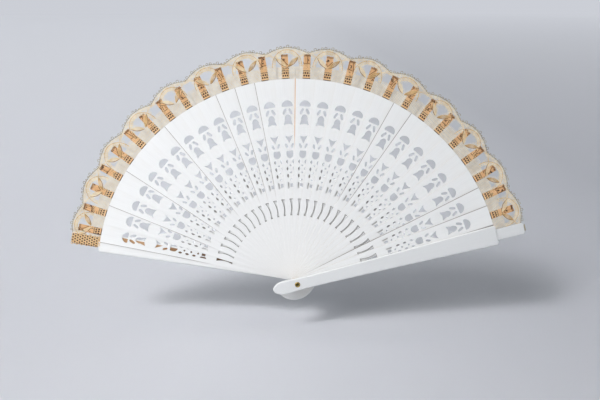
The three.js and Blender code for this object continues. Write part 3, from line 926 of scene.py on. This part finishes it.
def add_guards():
    mesh = guard_mesh()
    material = guard_material()
    place = flat_place(0, depths("front_guard")[1])
    add_piece("guard_front", mesh, material, "front_guard", "front_guard", place)
    turned_over = Matrix.Rotation(math.pi, 4, "Y")
    place = flat_place(REAR_INDEX, depths("rear_guard")[0]) @ turned_over
    add_piece("guard_rear", mesh.copy(), material, "rear_guard", "rear_guard", place)


def add_rivet():
    brass = brass_material()
    place = Matrix.Identity(4)
    add_piece("rivet_brass", rivet_mesh(), brass, "rivet", "front_guard", place)
    add_piece("washer_brass", washer_mesh(), brass, "rivet_washer", "front_guard", place)


def bay_at(along):
    """Number of the bay between two sticks that holds a place on the strip."""
    return bisect(COLUMNS, along, 1, REAR_INDEX) - 1


def strip_depth(along):
    index = bay_at(along)
    share = (along - COLUMNS[index]) / (COLUMNS[index + 1] - COLUMNS[index])
    drop_share = min(1, max(0, (share - DROP_START) / (DROP_END - DROP_START)))
    eased = drop_share * drop_share * (3 - 2 * drop_share)
    return LACE_DEPTHS[index] + (LACE_DEPTHS[index + 1] - LACE_DEPTHS[index]) * eased


def strip_point(along, rise, lift=0):
    """Place in metres of a point of the lace; lift is towards the front."""
    turn = math.radians(FRONT_GUARD_ANGLE + along / MM_PER_DEGREE)
    radius = RIM_RADIUS + rise
    return Vector((radius * math.cos(turn), strip_depth(along) - lift, radius * math.sin(turn))) * MM


def from_lobe(along):
    """Distance across from the middle of the nearest lobe."""
    repeats = (along - FIRST_LOBE) / REPEAT
    return abs(repeats - round(repeats)) * REPEAT


def edge_rise(along):
    return VALLEY + LOBE_RISE * math.cos(math.pi * from_lobe(along) / REPEAT)


def over_tongue(along, rise):
    """Whether a place on the strip lies on a stick's tongue."""
    if rise > TONGUE_LENGTH:
        return False
    nearest = min(abs(along - column) for column in COLUMNS[1:-1])
    return nearest * (RIM_RADIUS + rise) / MID_RADIUS < TONGUE_END_HALF_WIDTH


def slot_at(place, slots):
    free, on_wood = slots
    return on_wood if over_tongue(*place) else free


class Threads:
    """Points and faces of one bay's lace, with a material slot for each face."""

    def __init__(self):
        self.points = []
        self.faces = []
        self.slots = []

    def add_face(self, corners, slot):
        self.faces.append(corners)
        self.slots.append(slot)


def add_thread(bay, line, thread, closed=False):
    """Flattened tube along a line of strip points, with capped ends unless it is closed."""
    width, thickness, *slots = thread
    places = [strip_point(*point) for point in line]
    count = len(places)
    first = len(bay.points)
    for index, place in enumerate(places):
        before = places[index - 1] if index or closed else place
        after = places[(index + 1) % count] if index < count - 1 or closed else place
        side = FRONT.cross((after - before).normalized()).normalized()
        for across, outwards in circle_points(THREAD_SIDES):
            offset = side * (across * width) + FRONT * (outwards * thickness)
            bay.points.append(place + offset * MM / 2)
    rings = [first + ring * THREAD_SIDES for ring in range(count)]
    pairs = list(sides_of(rings)) if closed else zip(rings, rings[1:])
    for point, (start, end) in zip(line, pairs):
        slot = slot_at(point, slots)
        for face in ring_faces(start, end, THREAD_SIDES):
            bay.add_face(face, slot)
    if not closed:
        for ring, point in ((rings[0], line[0]), (rings[-1], line[-1])):
            bay.add_face(tuple(range(ring, ring + THREAD_SIDES)), slot_at(point, slots))


def add_line(bays, line, thread):
    """Adds a thread to the bays that it crosses, cut near the stick axes and at the strip's ends."""
    run = []
    run_bay = None
    for first, second in zip(line, line[1:]):
        middle = (first[0] + second[0]) / 2
        inside = FRONT_END <= middle <= REAR_END
        bay = bay_at(middle) if inside else None
        if bay != run_bay and run:
            add_thread(bays[run_bay], run, thread)
            run = []
        if bay is not None:
            run = run or [first]
            run.append(second)
        run_bay = bay
    if run:
        add_thread(bays[run_bay], run, thread)


def add_edge(bays):
    """Outline cord of the scallops, with small uneven loops along it."""
    line = [(along, edge_rise(along)) for along in spaced(FRONT_END, REAR_END, LINE_STEP)]
    add_line(bays, line, EDGE_CORD)
    places = spaced(FRONT_END + PICOT_SPACING, REAR_END - PICOT_SPACING, PICOT_SPACING)
    for number, along in enumerate(places):
        radius = PICOT_RADIUS * (1 + PICOT_UNEVENNESS * math.sin(PICOT_TURN * number))
        middle = edge_rise(along) + radius
        loop = [(along + radius * x, middle + radius * y) for x, y in circle_points(PICOT_STEPS)]
        add_thread(bays[bay_at(along)], loop, PICOT_THREAD, closed=True)


def arch_point(middle, turn, inset):
    across = (ARCH_HALF_WIDTH - inset) * math.sin(turn)
    return (middle + across, ARCH_FOOT_RISE + (ARCH_HEIGHT - inset) * math.cos(turn))


def add_arch(bays, middle):
    """Tall arch of a lobe: an outer and an inner cord with rungs between them."""
    turns = spaced(-math.pi / 2, math.pi / 2, math.pi / ARCH_STEPS)
    add_line(bays, [arch_point(middle, turn, 0) for turn in turns], ARCH_CORD)
    add_line(bays, [arch_point(middle, turn, ARCH_BAND) for turn in turns], ARCH_THREAD)
    for turn in turns[1:-1:2]:
        rung = [arch_point(middle, turn, inset) for inset in (0, ARCH_BAND / 2, ARCH_BAND)]
        add_line(bays, rung, RUNG_THREAD)


def add_leaf(bays, middle, side):
    """Slanted leaf of satin threads beside a lobe's middle, its lower edge a brown thread of painted shadow,
    and the trellis beyond.
    """
    foot, point, end = (Vector(place) for place in (LACE_LEAF_FOOT, LACE_LEAF_POINT, TRELLIS_END))
    across = Vector((foot.y - point.y, point.x - foot.x)).normalized()
    for number in range(LACE_LEAF_THREADS):
        offset = LACE_LEAF_HALF_WIDTH * (2 * number / (LACE_LEAF_THREADS - 1) - 1)
        line = []
        for share in spaced(0, 1, 1 / LACE_LEAF_STEPS):
            place = foot.lerp(point, share) + across * offset * math.sin(math.pi * share)
            line.append((middle + side * place.x, place.y))
        add_line(bays, line, LACE_LEAF_THREAD[side] if number else LACE_LEAF_SHADOW_EDGE)
    for offset in (-TRELLIS_HALF_WIDTH, TRELLIS_HALF_WIDTH):
        line = []
        for share in spaced(0, 1, SHARE_STEP):
            place = point.lerp(end, share) + across * offset * share
            line.append((middle + side * place.x, place.y))
        add_line(bays, line, TRELLIS_THREAD)


def add_foot(bays):
    """Beading on each tongue: rows of tape with short bars between them, staggered like bricks."""
    for column in COLUMNS[1:-1]:
        low, high = column - FOOT_HALF_WIDTH, column + FOOT_HALF_WIDTH
        for rise, thread in FOOT_ROWS.items():
            add_line(bays, [(along, rise) for along in spaced(low, high, LINE_STEP)], thread)
        for number, (start, end) in enumerate(zip(FOOT_ROWS, [*FOOT_ROWS][1:])):
            shift = FOOT_BAR_SPACING / 2 * (number % 2)
            for along in spaced(low + shift, high - shift, FOOT_BAR_SPACING):
                add_line(bays, [(along, start), (along, end)], FOOT_BAR)


def add_opening_outlines(bays, middle):
    """Cord round the openings of a repeat where it is glued down on a tongue, dark brown as a painted
    shadow.
    """
    for corners in OPENINGS:
        for first, second in sides_of(corners):
            on_lobe_axis = first[0] == second[0] == 0
            for side in SIDES:
                line = [Vector(first).lerp(Vector(second), share) for share in spaced(0, 1, SHARE_STEP)]
                line = [(middle + side * across, rise) for across, rise in line]
                glued = [place for place in line if over_tongue(*place)]
                if len(glued) > 1 and not on_lobe_axis:
                    add_line(bays, glued, OUTLINE_THREAD)


def inside_outline(place, corners):
    """Whether a point lies in a polygon, by the sides that a ray from it crosses."""
    across, rise = place
    inside = False
    for (first, low), (second, high) in sides_of(corners):
        if (low > rise) != (high > rise):
            crossing = first + (rise - low) / (high - low) * (second - first)
            inside ^= across < crossing
    return inside


def in_arch_band(across, height):
    """Whether a place lies between the two cords of a lobe's arch."""
    outer = math.hypot(across / ARCH_HALF_WIDTH, height / ARCH_HEIGHT)
    inner = math.hypot(across / (ARCH_HALF_WIDTH - ARCH_BAND), height / (ARCH_HEIGHT - ARCH_BAND))
    return outer < 1 < inner and height > 0


def net_hole(along, rise):
    """Size of a net cell's hole as a share of the cell, or None where there is no cell."""
    across = from_lobe(along)
    edge = edge_rise(along)
    in_opening = any(inside_outline((across, rise), corners) for corners in OPENINGS)
    if in_opening or rise > edge - NET_EDGE_MARGIN:
        return None
    if over_tongue(along, rise):
        low, high = NET_ON_WOOD
        return NET_HOLE_ON_WOOD if low < rise < high else None
    if in_arch_band(across, rise - ARCH_FOOT_RISE) or rise > edge - NET_EDGE_BAND:
        return NET_HOLE_BAND
    return NET_HOLE_FOOT if rise < NET_FOOT_RISE else NET_HOLE_FIELD


def net_cells(span, rises, net):
    """Middles of hexagonal cells that fill a part of the strip."""
    start, end = span
    low, high = rises
    pitch, *_ = net
    rows = int((high - low) / (pitch * HEX_ROW)) + 1
    columns = int((end - start) / pitch) + 1
    for row in range(rows):
        for column in range(columns):
            yield start + (column + row % 2 / 2) * pitch, low + row * pitch * HEX_ROW


def add_net(bay, cells, net):
    """Slab of hexagonal cells given as (along, rise, hole), with walls round its holes and its edge."""
    pitch, thickness, *slots = net
    corner_radius = pitch / math.sqrt(3)
    corners = circle_points(HEX_SIDES, 0.5)
    known = {}
    flat_points = []

    def vertex(along, rise):
        key = (round(along / NET_KEY), round(rise / NET_KEY))
        if key not in known:
            known[key] = len(flat_points)
            flat_points.append((along, rise))
        return known[key]

    quads = []
    for along, rise, hole in cells:
        outer, inner = ([vertex(along + radius * x, rise + radius * y) for x, y in corners]
                        for radius in (corner_radius, hole * corner_radius))
        slot = slot_at((along, rise), slots)
        for (first, second), (third, fourth) in zip(sides_of(outer), sides_of(inner)):
            quads.append(((first, second, fourth, third), slot))
    front = len(bay.points)
    back = front + len(flat_points)
    for lift in (thickness / 2, -thickness / 2):
        bay.points.extend(strip_point(along, rise, lift) for along, rise in flat_points)
    edges = {}
    for quad, slot in quads:
        edges.update(dict.fromkeys(sides_of(quad), slot))
        bay.add_face(tuple(front + corner for corner in quad), slot)
        bay.add_face(tuple(back + corner for corner in reversed(quad)), slot)
    for (start, end), slot in edges.items():
        if (end, start) not in edges:
            bay.add_face((front + end, front + start, back + start, back + end), slot)


def add_tulle(bays):
    cells = [[] for _ in bays]
    span = (FRONT_END, REAR_END)
    for along, rise in net_cells(span, (NET_START, VALLEY + LOBE_RISE), FIELD_NET):
        hole = net_hole(along, rise)
        if hole and along < REAR_END:
            cells[bay_at(along)].append((along, rise, hole))
    for bay, own_cells in zip(bays, cells):
        add_net(bay, own_cells, FIELD_NET)


def add_strip_tip(bay, span, rises, hole, net):
    add_net(bay, [(*place, hole) for place in net_cells(span, rises, net)], net)


def add_bay(index, threads, materials):
    """Sheet of lace between two neighbours, glued to both."""
    name = f"lace_bay_{index:02d}"
    mesh = bpy.data.meshes.new(name)
    mesh.from_pydata(threads.points, [], threads.faces)
    mesh.polygons.foreach_set("material_index", threads.slots)
    for material in materials:
        mesh.materials.append(material)
    piece = link(name, finish_mesh(mesh))
    neighbours = BODIES[index:index + 2]
    start, end = COLUMNS[index:index + 2]
    bend_start = start + BEND_START * (end - start)
    bend_end = start + BEND_END * (end - start)
    replaced = [f"lace_{index:02d}"]
    if neighbours[1] == "rear_guard":
        bend_end = REAR_END
        end += END_HALF_WIDTH
        replaced.append(f"lace_{REAR_INDEX:02d}")
    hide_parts(*replaced)
    strip_point(bend_start, MIDDLE_RISE)
    strip_point(bend_end, MIDDLE_RISE)
    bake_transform(piece)


def add_lace():
    """The border, in one piece for each bay between two sticks."""
    bays = [Threads() for _ in range(REAR_INDEX)]
    add_edge(bays)
    add_foot(bays)
    for number in LOBE_NUMBERS:
        middle = FIRST_LOBE + number * REPEAT
        add_arch(bays, middle)
        add_opening_outlines(bays, middle)
        for side in SIDES:
            add_leaf(bays, middle, side)
    add_tulle(bays)
    add_strip_tip(bays[0], *STRIP_START)
    add_strip_tip(bays[-1], *STRIP_END)
    materials = [thread_material(name, *looks) for name, looks in THREAD_LOOKS.items()]
    for index, threads in enumerate(bays):
        add_bay(index, threads, materials)


def add_floor():
    mesh = bpy.data.meshes.new("floor")
    corners = [(FLOOR_SIZE / 2 * x, FLOOR_SIZE / 2 * y, 0) for x, y in FLOOR_CORNERS]
    mesh.from_pydata(corners, [], [range(len(corners))])
    mesh.materials.append(floor_material())
    floor = link("floor", mesh)
    floor.location.z = FLOOR_HEIGHT
    return floor


def add_lamp(name, kind, place, spread, strength):
    data = bpy.data.lights.new(name, kind)
    data.energy = strength
    if kind == "SUN":
        data.angle = math.radians(spread)
    else:
        data.shape = "DISK"
        data.size = spread
    lamp = link(name, data)
    lamp.visible_camera = False
    lamp.location = place
    lamp.rotation_euler = (Vector(LIGHT_AIM) - Vector(place)).to_track_quat("-Z", "Y").to_euler()
    return lamp


def add_light(floor):
    """Key light from the upper left, with weaker lamps round the fan. The floor has a key light of its own
    from the same side and no fill, so that the shadow on it stays deep."""
    fills = [add_lamp(name, *lamp) for name, lamp in FILL_LAMPS.items()]
    add_lamp("key", *KEY_LAMP)
    floor_key = add_lamp("floor_key", *FLOOR_KEY_LAMP)
    only_floor = bpy.data.collections.new("only_floor")
    only_floor.objects.link(floor)
    floor_key.light_linking.receiver_collection = only_floor
    not_floor = bpy.data.collections.new("not_floor")
    not_floor.objects.link(floor)
    not_floor.collection_objects[0].light_linking.link_state = "EXCLUDE"
    for lamp in fills:
        lamp.light_linking.receiver_collection = not_floor


def add_world():
    """Even light from all round; the camera, metal and glass see the tone of the far floor instead."""
    world = bpy.data.worlds.new("studio")
    world.use_nodes = True
    tree = world.node_tree
    light = tree.nodes["Background"]
    feed(light.inputs["Color"], WORLD_COLOUR)
    feed(light.inputs["Strength"], WORLD_STRENGTH)
    tone = new_value(tree, "Background", "Background", {"Color": BACKGROUND_FAR})
    show_tone(tree, light.outputs["Background"], tone, 1, "World Output")
    bpy.context.scene.world = world


def add_camera():
    """Camera at the photograph's viewing angle."""
    data = bpy.data.cameras.new("camera")
    data.lens = CAMERA_LENS
    data.sensor_width = CAMERA_SENSOR
    data.sensor_fit = "HORIZONTAL"
    camera = link("camera", data)
    turn = Euler((math.radians(90 - CAMERA_TILT), 0, math.radians(-CAMERA_YAW))).to_matrix()
    place = Vector(CAMERA_TARGET) + turn @ Vector(CAMERA_OFFSET)
    camera.matrix_world = Matrix.Translation(place) @ turn.to_4x4()
    bpy.context.scene.camera = camera


add_sticks()
add_guards()
add_rivet()
add_lace()
add_light(add_floor())
add_world()
add_camera()
bpy.context.scene.view_settings.view_transform = "Standard"
